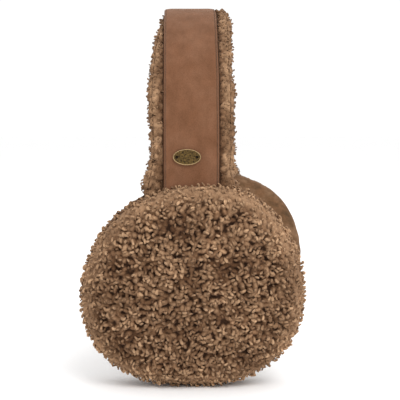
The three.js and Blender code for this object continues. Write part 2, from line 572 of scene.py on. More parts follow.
@dataclass(frozen=True)
class Curl:
    """One curl of wool: a fat tapered lock that rises from its root and turns over."""

    rise: float = 1.3 * MM
    turn_radius: float = 0.80 * MM
    turn: float = math.radians(235)
    sideways: float = 0.4 * MM
    root_radius: float = 0.55 * MM
    belly_radius: float = 0.74 * MM
    tip_radius: float = 0.40 * MM
    fullest_at: float = 0.5
    strand_step: float = 0.22
    sides: int = 5
    steps: int = 6

    def centre(self, share: float) -> tuple[Vector, float]:
        """Gives the lock's middle line.

        Args:
            share: How far along the lock, from 0 to 1.

        Returns:
            The point, and the lock's tilt about Y there.
        """
        straight = self.rise / (self.rise + self.turn_radius * self.turn)
        if share <= straight:
            return Vector((0, 0, self.rise * share / straight)), 0.0
        angle = self.turn * (share - straight) / (1 - straight)
        across = self.turn_radius * (1 - math.cos(angle))
        up = self.rise + self.turn_radius * math.sin(angle)
        return Vector((across, self.sideways * angle / self.turn, up)), angle

    def radius(self, share: float) -> float:
        """Gives the lock's thickness: fullest about the middle, thin at the tip.

        Args:
            share: How far along the lock, from 0 to 1.

        Returns:
            The radius there.
        """
        if share < self.fullest_at:
            grown = share / self.fullest_at
            return self.root_radius + (self.belly_radius - self.root_radius) * grown
        fall = (share - self.fullest_at) / (1 - self.fullest_at)
        return self.belly_radius + (self.tip_radius - self.belly_radius) * fall * fall

    def build(self) -> tuple[np.ndarray, list[list[int]]]:
        """Sweeps the lock by extruding its end face step by step.

        Returns:
            The points in rings from the root, and the corner numbers of the faces.
        """
        bm = bmesh.new()
        bmesh.ops.create_circle(bm, cap_ends=True, segments=self.sides, radius=self.root_radius)
        bm.faces.ensure_lookup_table()
        end = bm.faces[0]
        here, tilt, thick = Vector((0, 0, 0)), 0.0, self.root_radius
        for step in range(1, self.steps + 1):
            share = step / self.steps
            there, angle = self.centre(share)
            corners, end = extruded(bm, [end])
            wide = self.radius(share)
            move = (
                Matrix.Translation(there)
                @ Matrix.Rotation(angle - tilt, 4, "Y")
                @ Matrix.Scale(wide / thick, 4)
                @ Matrix.Translation(-here)
            )
            bmesh.ops.transform(bm, matrix=move, verts=corners)
            here, tilt, thick = there, angle, wide
        bm.normal_update()
        bmesh.ops.recalc_face_normals(bm, faces=bm.faces[:])
        bm.verts.index_update()
        points = np.array([vert.co[:] for vert in bm.verts])
        faces = [[vert.index for vert in face.verts] for face in bm.faces]
        bm.free()
        return points, faces

    def strand(self) -> np.ndarray:
        """Gives each point's place round the lock and along it, for the fibres.

        Returns:
            One row of three for each point, in rings from the root.
        """
        around = np.arange(self.sides) * 2 * math.pi / self.sides
        rings = [
            [np.cos(around), np.sin(around), np.full(self.sides, self.strand_step * ring)]
            for ring in range(self.steps + 1)
        ]
        return np.concatenate([np.stack(ring, axis=1) for ring in rings])


@dataclass(frozen=True)
class Growth:
    """How wool grows in places: one row, or one number, for each."""

    combing: np.ndarray  # which way and how far it's brushed
    rim: np.ndarray  # how much the place belongs to a rim with calm, brushed wool
    fullness: np.ndarray  # how much of its usual height the wool has
    # shade holds painted shade, painted light where it is below nothing, and a plain darker tone
    # over the band's wool.
    shade: np.ndarray  # how much darker than its usual tone the wool is

    @staticmethod
    def even(count: int, rim: float) -> "Growth":
        """Gives full unbrushed wool, the same in every place."""
        return Growth(np.zeros((count, 3)), np.full(count, rim), np.ones(count), np.zeros(count))

    def take(self, places: np.ndarray) -> "Growth":
        """Gives the growth at chosen places."""
        return Growth(
            self.combing[places], self.rim[places], self.fullness[places], self.shade[places]
        )

    def blend(self, weights: np.ndarray) -> "Growth":
        """Blends a growth held at triangles' corners by the corners' weights."""
        flat = weights[:, :, 0]
        return Growth(
            (self.combing * weights).sum(axis=1),
            (self.rim * flat).sum(axis=1),
            (self.fullness * flat).sum(axis=1),
            (self.shade * flat).sum(axis=1),
        )


@dataclass(frozen=True)
class Skin:
    """The surface that wool grows from, as triangles with what it says about the wool."""

    corners: np.ndarray
    normals: np.ndarray
    growth: Growth

    @staticmethod
    def of(
        mesh: bpy.types.Mesh,
        keep: np.ndarray,
        growth: Growth,
        normals: np.ndarray | None = None,
    ) -> "Skin":
        """Takes the part of a mesh whose corners are all kept.

        Args:
            mesh: The mesh.
            keep: One true or false a vertex.
            growth: How wool grows at each vertex.
            normals: Smoother normals than the mesh's own, one a vertex.

        Returns:
            The skin.
        """
        normals = mesh_normals(mesh) if normals is None else normals
        mesh.calc_loop_triangles()
        triangles = np.empty(len(mesh.loop_triangles) * 3, np.int32)
        mesh.loop_triangles.foreach_get("vertices", triangles)
        triangles = triangles.reshape(-1, 3)
        triangles = triangles[keep[triangles].all(axis=1)]
        return Skin(coordinates(mesh)[triangles], normals[triangles], growth.take(triangles))

    def _areas(self) -> np.ndarray:
        """Gives each triangle's area."""
        a, b, c = self.corners[:, 0], self.corners[:, 1], self.corners[:, 2]
        return np.linalg.norm(np.cross(b - a, c - a), axis=1) / 2

    def scatter(self, spacing: float, random: np.random.Generator) -> "Roots":
        """Spreads points over the skin, no two nearer than a spacing.

        Args:
            spacing: The least distance between two points.
            random: The source of chance.

        Returns:
            The points and what the skin says at each.
        """
        areas = self._areas()
        tries = int(TRIES * areas.sum() / spacing**2)
        chosen = random.choice(len(areas), tries, p=areas / areas.sum())
        u, v = random.random((2, tries, 1))
        over = u + v > 1
        u, v = np.where(over, 1 - u, u), np.where(over, 1 - v, v)
        weights = np.stack([1 - u - v, u, v], axis=1)
        points = (self.corners[chosen] * weights).sum(axis=1)
        cells: dict[tuple[int, int, int], list[int]] = {}
        kept: list[int] = []
        for number, point in enumerate(points):
            cell = tuple(np.floor(point / spacing).astype(int))
            near = (
                other
                for dx in (-1, 0, 1)
                for dy in (-1, 0, 1)
                for dz in (-1, 0, 1)
                for other in cells.get((cell[0] + dx, cell[1] + dy, cell[2] + dz), ())
            )
            if all(((points[other] - point) ** 2).sum() > spacing**2 for other in near):
                cells.setdefault(cell, []).append(number)
                kept.append(number)
        chosen, weights = chosen[kept], weights[kept]
        normals = unit((self.normals[chosen] * weights).sum(axis=1))
        return Roots(points[kept], normals, self.growth.take(chosen).blend(weights))


@dataclass(frozen=True)
class Roots:
    """Where curls grow, and what the skin says there."""

    points: np.ndarray
    normals: np.ndarray
    growth: Growth


@dataclass(frozen=True)
class Partings:
    """The broken lines along which curly wool parts."""

    size: float = 19 * MM
    break_size: float = 15.2 * MM
    line_width: float = 0.085
    break_sharpness: float = 3.0
    unbroken: float = 0.8

    def at(self, roots: Roots) -> np.ndarray:
        """Tells how much each root lies in a parting.

        Args:
            roots: Where the wool grows.

        Returns:
            From 0 to 1 for each root, and 0 on a calm rim.
        """
        lines = np.exp(-((swells(roots.points, self.size, 9.0) / self.line_width) ** 2))
        breaks = self.break_sharpness * swells(roots.points, self.break_size, 14.0) + self.unbroken
        return lines * np.clip(breaks, 0, 1) * (1 - roots.growth.rim)


@dataclass(frozen=True)
class Toning:
    """What makes wool lighter or darker from place to place; 0.5 is its usual tone."""

    base: float
    parting: float
    rim: float
    jitter: float
    edge: float = 0.0
    patch: float = 0.42
    rim_calm: float = 0.6

    def tones(
        self,
        roots: Roots,
        patch_size: float,
        parting: np.ndarray,
        random: np.random.Generator,
        edge: np.ndarray | float = 0.0,
    ) -> np.ndarray:
        """Gives each root its wool's tone.

        Args:
            roots: Where the wool grows.
            patch_size: The width of lighter and darker patches.
            parting: How much each root lies in a parting.
            random: The source of chance.
            edge: How near each root is to its tuft's edge.

        Returns:
            The tones, from 0 to 1.
        """
        rim = roots.growth.rim
        patches = self.patch * swells(roots.points, patch_size, PATCH_SEED)
        # Painted shade: darker in partings and at tufts' edges; the growth's shade below adds
        # painted shade and painted light.
        tones = self.base + patches - self.edge * edge - self.parting * parting + self.rim * rim
        tones += random.normal(0, self.jitter, len(rim)) * (1 - self.rim_calm * rim)
        return np.clip(tones - roots.growth.shade, 0, 1)


@dataclass(frozen=True)
class Nubs:
    """The nubs that dense wool is raised into: one row, or one number, for each."""

    ways: np.ndarray
    lengths: np.ndarray
    widths: np.ndarray
    heights: np.ndarray
    tones: np.ndarray


@dataclass(frozen=True)
class Ground:
    """The dense wool under the curls, raised into small drawn-out nubs."""

    seed: int
    spacing: float = 2.3 * MM
    half_length: float = 2.5 * MM
    half_width: float = 1.35 * MM
    height: float = 2.0 * MM
    rim_height: float = 1.1 * MM
    patch_size: float = 12 * MM
    length_range: Pair = (0.65, 1.15)
    width_range: Pair = (0.8, 1.2)
    height_range: Pair = (0.6, 1.1)
    combing_pull: float = 5.0
    parting_drop: float = 0.45
    neighbours: int = 6
    strand_length: float = 2.2 * MM
    strand_width: float = 0.5 * MM
    strand_shift: float = 3.7
    hidden_rise: float = 0.1
    hidden_tone: float = 0.3
    deep_rise: float = 0.03
    rim_rise: float = 0.58
    top_rise: float = 0.80
    floor_gap: float = 0.1 * MM
    toning: Toning = Toning(base=0.34, parting=0.34, rim=0.22, jitter=0.14)

    def raise_on(self, mesh: bpy.types.Mesh, keep: np.ndarray, growth: Growth) -> None:
        """Moves a mesh's vertices out into nubs, and writes what the finish reads.

        Args:
            mesh: The dense wool.
            keep: Which of its vertices have nubs.
            growth: How wool grows at each vertex.
        """
        random = np.random.default_rng(self.seed)
        points, normals = coordinates(mesh), mesh_normals(mesh)
        roots = Skin.of(mesh, keep, growth).scatter(self.spacing, random)
        nubs = self._shape(roots, random)
        shown = np.flatnonzero(keep)
        nub, lift, along, across = self._reach(points[shown], roots, nubs)

        moved = points.copy()
        moved[shown] += normals[shown] * lift[:, None]
        moved[:, 2] = np.maximum(moved[:, 2], self.floor_gap)
        mesh.vertices.foreach_set("co", moved.ravel())
        rise = np.full(len(points), self.hidden_rise)
        tone = np.full(len(points), self.hidden_tone)
        strand = points / self.strand_width
        # Painted shade: each nub is dark at its foot and tan at its top, so the gaps between nubs
        # are painted dark; calm rims keep less of it.
        lowest = self.deep_rise + self.rim_rise * growth.rim[shown]
        rise[shown] = lowest + (self.top_rise - lowest) * lift / self.height
        tone[shown] = nubs.tones[nub]
        along, across = along / self.strand_length, across / self.strand_width
        strand[shown] = np.stack([along, across, nub * self.strand_shift], axis=1)
        set_attribute(mesh, "rise", rise)
        set_attribute(mesh, "tone", tone)
        set_attribute(mesh, "strand", strand)
        mesh.update()

    def _shape(self, roots: Roots, random: np.random.Generator) -> Nubs:
        """Gives each nub its direction, size and tone.

        Args:
            roots: Where the nubs are.
            random: The source of chance.

        Returns:
            The nubs.
        """
        count, rim = len(roots.points), roots.growth.rim
        ways = random.normal(0, 1, (count, 3)) + roots.growth.combing * self.combing_pull
        lengths = self.half_length * random.uniform(*self.length_range, count)
        widths = self.half_width * random.uniform(*self.width_range, count)
        parting = Partings().at(roots)
        heights = self.height + (self.rim_height - self.height) * rim
        heights *= random.uniform(*self.height_range, count) * roots.growth.fullness
        heights *= 1 - self.parting_drop * parting
        tones = self.toning.tones(roots, self.patch_size, parting, random)
        return Nubs(unit(flattened(ways, roots.normals)), lengths, widths, heights, tones)

    def _reach(
        self, points: np.ndarray, roots: Roots, nubs: Nubs
    ) -> tuple[np.ndarray, np.ndarray, np.ndarray, np.ndarray]:
        """Finds the nub that covers each point.

        Args:
            points: The points.
            roots: Where the nubs are.
            nubs: Their shapes.

        Returns:
            Each point's nub, how far that lifts it, and its place along and across the nub.
        """
        tree = tree_of(roots.points)
        near = np.array([
            [hit[1] for hit in tree.find_n(point, self.neighbours)] for point in points
        ])
        away = points[:, None] - roots.points[near]
        along = (away * nubs.ways[near]).sum(axis=2)
        across2 = np.maximum((away**2).sum(axis=2) - along**2, 0)
        inside = 1 - (along / nubs.lengths[near]) ** 2 - across2 / nubs.widths[near] ** 2
        dome = nubs.heights[near] * np.sqrt(np.maximum(inside, 0))
        rows, best = np.arange(len(points)), dome.argmax(axis=1)
        return near[rows, best], dome[rows, best], along[rows, best], np.sqrt(across2[rows, best])


@dataclass(frozen=True)
class Fleece:
    """A growth of curls over a skin, gathered into small tufts with dark lines between: smaller
    curls there and painted shade.
    """

    seed: int
    spacing: float = 2.3 * MM
    tuft_spacing: float = 5.8 * MM
    tuft_pull: float = 0.4
    patch_size: float = 12 * MM
    full_height: float = 2.7 * MM
    scale: float = 0.98
    lift: float = 0.5 * MM
    sunk: float = 0.3 * MM
    size_range: Pair = (0.86, 1.16)
    middle_size: float = 1.06
    edge_drop: float = 0.22
    parting_drop: float = 0.25
    rim_drop: float = 0.20
    least_size: float = 0.3
    rim_rise: float = 0.62
    rise_power: float = 1.25
    tuft_reach: float = 0.62
    combing_lean: float = 0.5
    combing_turn: float = 1.6
    unruly: float = 0.14
    strand_spread: float = 50.0
    toning: Toning = Toning(base=0.40, parting=0.36, rim=0.20, jitter=0.12, edge=0.20)

    def kinds(self) -> list[Curl]:
        """Gives the kinds of curl that grow side by side.

        Returns:
            The curls, which all have the same number of points.
        """
        return [
            Curl(),
            Curl(rise=1.0 * MM, turn_radius=0.95 * MM, turn=math.radians(275), sideways=0.7 * MM),
            Curl(rise=1.6 * MM, turn_radius=0.60 * MM, turn=math.radians(205), sideways=-0.4 * MM),
            Curl(rise=1.2 * MM, turn_radius=0.70 * MM, turn=math.radians(310), sideways=-0.9 * MM),
            Curl(rise=1.5 * MM, turn_radius=0.85 * MM, turn=math.radians(180), sideways=0.9 * MM),
        ]

    def grow(self, name: str, skin: Skin) -> bpy.types.Object:
        """Grows the wool as one joined mesh.

        Args:
            name: The piece's name.
            skin: What it grows from.

        Returns:
            The piece, with each vertex's rise, tone and place on its strand.
        """
        random = np.random.default_rng(self.seed)
        roots = skin.scatter(self.spacing, random)
        count, growth = len(roots.points), roots.growth
        edge, lean = self._gather(roots, skin, random)
        parting = Partings().at(roots)

        kinds = self.kinds()
        shapes = [kind.build() for kind in kinds]
        models = np.stack([shape[0] for shape in shapes])[random.integers(0, len(shapes), count)]
        size = random.uniform(*self.size_range, count)
        size *= self.middle_size - self.edge_drop * edge**2 - self.parting_drop * parting
        size *= self.scale * (1 - self.rim_drop * growth.rim)
        size *= self.least_size + (1 - self.least_size) * growth.fullness
        placed = self._place(models, roots, lean, size, random)

        # Painted shade: each curl is darker the nearer it is to the skin and tan at its top; calm
        # rims keep less of it.
        height = (models[:, :, 2] + self.lift) * size[:, None]
        calm = self.rim_rise * growth.rim[:, None]
        rise = calm + (1 - calm) * np.clip(height / self.full_height, 0, 1) ** self.rise_power
        tone = self.toning.tones(roots, self.patch_size, parting, random, edge)
        shift = random.uniform(0, self.strand_spread, (count, 1, 3))
        strand = kinds[0].strand()[None] + shift

        mesh = self._join(placed.reshape(-1, 3), shapes[0][1], count, models.shape[1])
        set_attribute(mesh, "rise", rise.ravel())
        set_attribute(mesh, "tone", np.repeat(tone, models.shape[1]))
        set_attribute(mesh, "strand", strand.reshape(-1, 3))
        return make_object(name, mesh)

    def _gather(
        self, roots: Roots, skin: Skin, random: np.random.Generator
    ) -> tuple[np.ndarray, np.ndarray]:
        """Gathers the curls into tufts.

        Args:
            roots: Where the curls grow.
            skin: The skin.
            random: The source of chance.

        Returns:
            How near each curl is to its tuft's edge, and how each leans.
        """
        tufts = skin.scatter(self.tuft_spacing, random).points
        tree = tree_of(tufts)
        found = [tree.find(point) for point in roots.points]
        pull = np.array([hit[0][:] for hit in found]) - roots.points
        distance = np.array([hit[2] for hit in found])
        edge = np.clip(distance / (self.tuft_reach * self.tuft_spacing), 0, 1)
        lean = pull * self.tuft_pull / (self.tuft_spacing / 2)
        lean += self.combing_lean * roots.growth.combing
        lean += random.normal(0, self.unruly, lean.shape)
        return edge, flattened(lean, roots.normals)

    def _place(
        self,
        models: np.ndarray,
        roots: Roots,
        lean: np.ndarray,
        size: np.ndarray,
        random: np.random.Generator,
    ) -> np.ndarray:
        """Stands every curl on its root.

        Args:
            models: Each curl's points in its own frame.
            roots: Where they grow.
            lean: How each leans.
            size: Each one's scale.
            random: The source of chance.

        Returns:
            Each curl's points in the row frame.
        """
        normals = roots.normals
        spin = random.uniform(0, 2 * math.pi, len(size))
        guide = np.where(np.abs(normals[:, 2:3]) < 0.9, [[0, 0, 1.0]], [[1.0, 0, 0]])
        first = unit(np.cross(guide, normals))
        second = np.cross(normals, first)
        across = np.cos(spin)[:, None] * first + np.sin(spin)[:, None] * second
        across = unit(flattened(across + self.combing_turn * roots.growth.combing, normals))
        aside = np.cross(normals, across)
        up = normals + lean
        placed = (
            models[:, :, 0:1] * across[:, None]
            + models[:, :, 1:2] * aside[:, None]
            + (models[:, :, 2:3] - self.sunk) * up[:, None]
        )
        placed = roots.points[:, None] + placed * size[:, None, None]
        placed[:, :, 2] = np.maximum(placed[:, :, 2], 0.0)  # none reaches below the floor
        return placed

    def _join(
        self, points: np.ndarray, faces: list[list[int]], count: int, size: int
    ) -> bpy.types.Mesh:
        """Joins the curls into one mesh.

        Args:
            points: Every curl's points in turn.
            faces: One curl's faces.
            count: How many curls there are.
            size: How many points one curl has.

        Returns:
            The mesh, shaded smooth.
        """
        one = np.array([corner for face in faces for corner in face])
        lengths = np.array([len(face) for face in faces])
        corners = (one[None] + np.arange(count)[:, None] * size).reshape(-1)
        starts = np.concatenate([[0], np.cumsum(np.tile(lengths, count))[:-1]])
        mesh = bpy.data.meshes.new("fleece")
        mesh.vertices.add(len(points))
        mesh.vertices.foreach_set("co", points.ravel())
        mesh.loops.add(len(corners))
        mesh.loops.foreach_set("vertex_index", corners.astype(np.int32))
        mesh.polygons.add(len(starts))
        mesh.polygons.foreach_set("loop_start", starts.astype(np.int32))
        mesh.polygons.foreach_set("use_smooth", np.ones(len(starts), bool))
        mesh.update()
        mesh.validate()
        return mesh


# ---- Headband ------------------------------------------------------------------------


@dataclass(frozen=True)
class Arch:
    """The line that the band follows: near leg, half a circle and a little more, far leg."""

    top: float
    radius: float = 80 * MM
    mid_radius: float = 74.2 * MM
    lean: float = math.radians(4)
    twist: float = 14 * MM
    pad_z: float = 52.0 * MM

    @property
    def centre_z(self) -> float:
        """Height of the arch's centre."""
        return self.top - self.radius

    @property
    def quarter(self) -> float:
        """Length of the mid line from the crown to where a leg starts."""
        return self.mid_radius * (math.pi / 2 + self.lean)

    @property
    def to_pad(self) -> float:
        """Length of the mid line from the crown to a pad's middle."""
        leg_top = self.centre_z - self.mid_radius * math.sin(self.lean)
        return self.quarter + (leg_top - self.pad_z) / math.cos(self.lean)

    def middle_x(self, run: float) -> float:
        """Gives the band's sideways place.

        Args:
            run: Distance from the crown, positive towards the far pad.

        Returns:
            The mid line's x there.
        """
        bend = (run / self.to_pad) ** 2 if run > 0 else 0.0
        return self.twist * (bend - 0.5)

    def place(self, flat: Vector) -> Vector:
        """Bends a point of a flat strip round the arch.

        Args:
            flat: Its place across the strip, along it from the crown, and out from the
                arch's mid radius.

        Returns:
            Its place in the row frame.
        """
        side = 1.0 if flat.y >= 0 else -1.0
        run = min(abs(flat.y), self.quarter)
        angle = run / self.mid_radius
        reach = self.mid_radius + flat.z
        extra = abs(flat.y) - run
        y = reach * math.sin(angle) + extra * math.cos(angle)
        z = self.centre_z + reach * math.cos(angle) - extra * math.sin(angle)
        return Vector((flat.x + self.middle_x(flat.y), side * y, z))


@dataclass(frozen=True)
class FlatStrip:
    """A strip laid out flat before it is bent round the arch."""

    width: float
    length: float
    low: float
    high: float
    edge: float
    cells_across: int
    cells_along: int

    def build(self) -> bmesh.types.BMesh:
        """Makes the strip as a slab with rounded long edges.

        Returns:
            The flat slab: x across, y along, z from low to high.
        """
        bm = bmesh.new()
        bmesh.ops.create_grid(
            bm, x_segments=self.cells_across, y_segments=self.cells_along, size=0.5
        )
        bmesh.ops.scale(bm, vec=(self.width, self.length, 1), verts=bm.verts[:])
        bmesh.ops.translate(bm, vec=(0, 0, self.low), verts=bm.verts[:])
        lifted, _ = extruded(bm, bm.faces[:], closed=True)
        bmesh.ops.translate(bm, vec=(0, 0, self.high - self.low), verts=lifted)
        bmesh.ops.recalc_face_normals(bm, faces=bm.faces[:])
        half = self.width / 2 - SMALL
        rims = [
            rim for rim in bm.edges
            if all(abs(vert.co.x) > half for vert in rim.verts)
            and abs(rim.verts[0].co.z - rim.verts[1].co.z) < SMALL
        ]
        bevelled(bm, rims, self.edge, 4)
        return bm


@dataclass(frozen=True)
class Overhang:
    """How far the band's wool stands out past the strip, as a share of its usual reach.

    Places along the band are in millimetres from the crown.
    """

    wobble: float = 0.05
    wobble_length: float = 9.0
    wobble_drift: float = 0.03
    ripple: float = 0.04
    ripple_length: float = 4.1
    tucked_least: float = 0.02
    tucked_until: float = 27
    tucked_over: float = 46
    tucked_power: float = 0.85
    tucked_dip: float = 0.20
    tucked_dip_at: float = 111
    tucked_dip_width: float = 10
    tucked_flare: float = 0.42
    tucked_flare_from: float = 116
    tucked_flare_over: float = 14
    open_dip: float = 0.25
    open_dip_width: float = 24
    open_flare: float = 0.40
    open_flare_from: float = 122
    open_flare_over: float = 10

    def at(self, run: float, across: float) -> float:
        """Gives the share in one place.

        Args:
            run: Distance from the crown in metres, positive towards the far pad.
            across: The side: negative for the one tucked away at the crown.

        Returns:
            The share.
        """
        along = abs(run) / MM
        drift = self.wobble_drift * run / MM
        share = 1.0 + self.wobble * math.sin(along / self.wobble_length + drift)
        share += self.ripple * math.sin(along / self.ripple_length)
        if across < 0:
            shown = max(self.tucked_least, slope(along, self.tucked_until, self.tucked_over))
            share *= shown**self.tucked_power
            share -= self.tucked_dip * hump(along, self.tucked_dip_at, self.tucked_dip_width)
            flare = slope(along, self.tucked_flare_from, self.tucked_flare_over)
            return share + self.tucked_flare * flare
        share -= self.open_dip * hump(along, 0, self.open_dip_width)
        return share + self.open_flare * slope(along, self.open_flare_from, self.open_flare_over)


@dataclass
class Headband:
    """The suede strip and the wool band under it."""

    arch: Arch
    overhang: Overhang = Overhang()
    strap_width: float = 28 * MM
    strap_thickness: float = 2 * MM
    wool_width: float = 48 * MM
    wool_thickness: float = 11 * MM
    wool_drop: float = 0.6 * MM
    pile: float = 2.6 * MM
    leg: float = 29.5 * MM
    hidden_leg: float = 12 * MM
    trim: float = 1.0 * MM
    calm: float = 0.95
    # shade darkens the band's wool all over; strip_shade paints shadow along the strap, tucked_shade
    # paints shade on the side tucked away at the crown, and puff_shade paints shade between the
    # puffs and light on them.
    shade: float = 0.24
    strip_shade: float = 0.30
    tucked_shade: float = 0.06
    puff_shade: float = 0.38
    puff_size: float = 6 * MM
    puff_swelling: float = 0.25
    tuck_drop: float = 4.5 * MM
    tuck_starts: float = 0.8
    strap_edge: float = 0.95 * MM
    edge_highlight_width: float = 1.1 * MM
    groove_depth: float = 0.064 * MM
    groove_inward: float = 1.9 * MM
    groove_width: float = 0.6 * MM
    droop: float = 0.6 * MM
    droop_power: float = 9
    lump_height: float = 0.22 * MM
    lump_size: float = 22 * MM
    dimple_height: float = 0.05 * MM
    dimple_size: float = 6 * MM
    wander: float = 0.18 * MM
    wander_length: float = MM / 0.06
    strap_gap: float = 0.3 * MM
    end_gap: float = 0.4 * MM
    wool_edge: float = 1.9 * MM
    edge_from: float = 0.2 * MM
    under_up_to: float = 0.4 * MM
    top_down_to: float = 0.5 * MM
    lining_reach: float = 2.5 * MM
    hug_width: float = 3 * MM
    hug_combing: float = 0.6
    hug_flattening: float = 0.5
    # hug_roughness_and_shade makes the wool beside the strap rougher and paints its roots darker as
    # shade in the crease.
    hug_roughness_and_shade: float = 0.9

    @property
    def length(self) -> float:
        """Length of the band along its mid line."""
        return 2 * (self.arch.quarter + self.leg)

    @property
    def outer(self) -> float:
        """The suede surface's distance out from the mid radius."""
        return self.arch.radius - self.arch.mid_radius

    def build(self, suede: bpy.types.Material, wool: bpy.types.Material) -> None:
        """Builds and dresses the band's pieces.

        Args:
            suede: The strip's finish.
            wool: The wool's finish.
        """
        strap = self.strap()
        dress(strap, suede)
        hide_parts("suede_strap")
        pieces = self.wool()
        for piece in pieces:
            dress(piece, wool)
        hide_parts("wool_band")

    def strap(self) -> bpy.types.Object:
        """Builds the suede strip with its turned edges.

        Returns:
            The strip, with its painted highlight along the rolled long edges.
        """
        bm = FlatStrip(
            self.strap_width, self.length, low=self.outer - self.strap_thickness, high=self.outer,
            edge=self.strap_edge, cells_across=32, cells_along=240,
        ).build()
        half = self.strap_width / 2
        painted_highlights = []
        for vert in bm.verts:
            inward = half - abs(vert.co.x)
            # Painted highlight: paler towards the rolled long edges.
            painted_highlights.append(max(0.0, 1 - inward / self.edge_highlight_width))
            if vert.co.z > self.outer - 0.5 * self.strap_thickness:
                vert.co.z += self.strap_relief(vert.co, inward, half)
            edge = Vector((math.copysign(1, vert.co.x), vert.co.y / self.wander_length, 0))
            vert.co.x += self.wander * swell(edge, 1.0, 0.0)
            vert.co = self.arch.place(vert.co)
        bm.normal_update()
        mesh = mesh_from(bm, "strap")
        set_attribute(mesh, "rub", np.array(painted_highlights))
        return make_object("band_suede", mesh)

    def strap_relief(self, flat: Vector, inward: float, half: float) -> float:
        """Gives how far the strip's top stands above its usual height.

        Args:
            flat: The place on the flat strip.
            inward: Its distance from the nearer long edge.
            half: Half the strip's width.

        Returns:
            The rise in metres, below nothing towards the edges.
        """
        lump = self.lump_height * swell(flat, self.lump_size, 1.0)
        dimple = self.dimple_height * swell(flat, self.dimple_size, 2.0)
        groove = self.groove_depth * hump(inward, self.groove_inward, self.groove_width)
        droop = self.droop * (1 - max(inward, 0) / half) ** self.droop_power
        return lump + dimple - groove - droop

    def wool(self) -> list[bpy.types.Object]:
        """Builds the dense wool with its nubs, and the curls along its edges and under it.

        Returns:
            The closed dense piece, the edges' curls and the lining's curls.
        """
        top = self.outer - self.strap_thickness - self.strap_gap
        bottom = self.outer - self.wool_drop - self.wool_thickness + self.pile
        bm = FlatStrip(
            self.wool_width - 2 * (self.pile + self.trim), self.length - 2 * self.end_gap,
            low=bottom, high=top, edge=self.wool_edge, cells_across=64, cells_along=440,
        ).build()
        flat = np.array([vert.co[:] for vert in bm.verts])
        half = self.strap_width / 2
        for vert in bm.verts:
            over = abs(vert.co.x) - half
            if over > 0:
                share = self.overhang.at(vert.co.y, vert.co.x)
                drop = self.tuck_drop * max(0.0, self.tuck_starts - share)
                vert.co.x = math.copysign(half + over * share, vert.co.x)
                vert.co.z = max(vert.co.z - drop, bottom)
            vert.co = self.arch.place(vert.co)
        bm.normal_update()
        mesh = mesh_from(bm, "wool_body")
        body = make_object("band_wool", mesh)

        across = np.abs(flat[:, 0])
        shown = np.abs(flat[:, 1]) < self.length / 2 - self.hidden_leg
        at_edge = across > half + self.edge_from
        under = flat[:, 2] < bottom + self.under_up_to
        on_top = flat[:, 2] > top - self.top_down_to
        hugging = np.clip(1 - (across - half) / self.hug_width, 0, 1) * on_top
        puffs = swells(flat, self.puff_size, 21.0)
        growth = Growth.even(len(flat), self.calm)
        growth.combing[:, 0] = -np.sign(flat[:, 0]) * self.hug_combing * hugging
        # Beside the strap the rim drops: rougher wool, and darker roots as painted shade in the
        # crease.
        growth.rim[:] *= 1 - self.hug_roughness_and_shade * hugging
        growth.fullness[:] = 1 - self.hug_flattening * hugging + self.puff_swelling * puffs
        # Painted shade: a shadow along the strap, the tucked side darker, and shade between the
        # puffs with light on them.
        growth.shade[:] = self.shade + self.strip_shade * hugging - self.puff_shade * puffs
        growth.shade[flat[:, 0] < 0] += self.tucked_shade
        normals = mesh_normals(mesh)
        Ground(
            seed=43, spacing=2.9 * MM, half_length=2.9 * MM, half_width=1.8 * MM,
            rim_height=1.7 * MM, patch_size=7 * MM,
        ).raise_on(mesh, shown & (at_edge | under), growth)
        edges = Skin.of(mesh, shown & at_edge, growth, normals)
        lining = Skin.of(mesh, shown & under & (across < half + self.lining_reach), growth, normals)
        fine = Fleece(
            seed=11, spacing=1.9 * MM, scale=0.64, patch_size=7 * MM, tuft_spacing=6 * MM
        )
        soft = Fleece(seed=12, scale=0.8, patch_size=9 * MM)
        return [body, fine.grow("band_edge_curls", edges), soft.grow("band_lining_curls", lining)]


# ---- Ear pads ------------------------------------------------------------------------


@dataclass(frozen=True)
class Bulge:
    """A soft bulge in one pad's outline, or a dip where its share is below nothing."""

    share: float  # its height as a share of the outline's radius
    toward: float  # the direction it points in, in degrees from +X towards up
    width: float  # how wide it is, in degrees

    def at(self, angle: float) -> float:
        """Gives the bulge's height in a direction, as a share of the radius."""
        past = (math.degrees(angle) - self.toward + 180) % 360 - 180
        return self.share * hump(past, 0, self.width)


@dataclass(frozen=True)
class PadForm:
    """A pad's outline and the half-sections of its two sides."""

    bulge: Bulge
    half_width: float = 58.1 * MM
    half_height: float = 53.6 * MM
    seam: float = -5 * MM
    # Each wave round the outline: its crests, its height as a share, where one points.
    waves: tuple[tuple[int, float, float], ...] = (
        (1, 0.024, -60), (2, 0.020, 47), (3, 0.024, -39), (4, 0.015, -45),
    )
    # Reach as a share of the outline's radius, and depth outwards in millimetres.
    wool_rows: tuple[Pair, ...] = (
        (0.975, -5.0), (0.990, -1.0), (1.000, 5.0), (0.985, 10.5), (0.930, 15.0),
        (0.800, 18.6), (0.560, 20.8), (0.280, 21.7), (0.000, 22.0),
    )
    suede_rows: tuple[Pair, ...] = (
        (0.000, -18.6), (0.300, -18.3), (0.560, -17.4), (0.760, -15.6), (0.900, -12.2),
        (0.965, -8.2), (0.975, -5.0),
    )

    def outline(self, angle: float) -> float:
        """Gives the outline's radius in a direction.

        Args:
            angle: The direction, from +X towards up.

        Returns:
            The radius.
        """
        across, up = math.cos(angle) / self.half_width, math.sin(angle) / self.half_height
        ellipse = 1 / math.hypot(across, up)
        waves = sum(
            share * math.cos(crests * (angle - math.radians(toward)))
            for crests, share, toward in self.waves
        )
        return ellipse * (1 + waves) * (1 + self.bulge.at(angle))


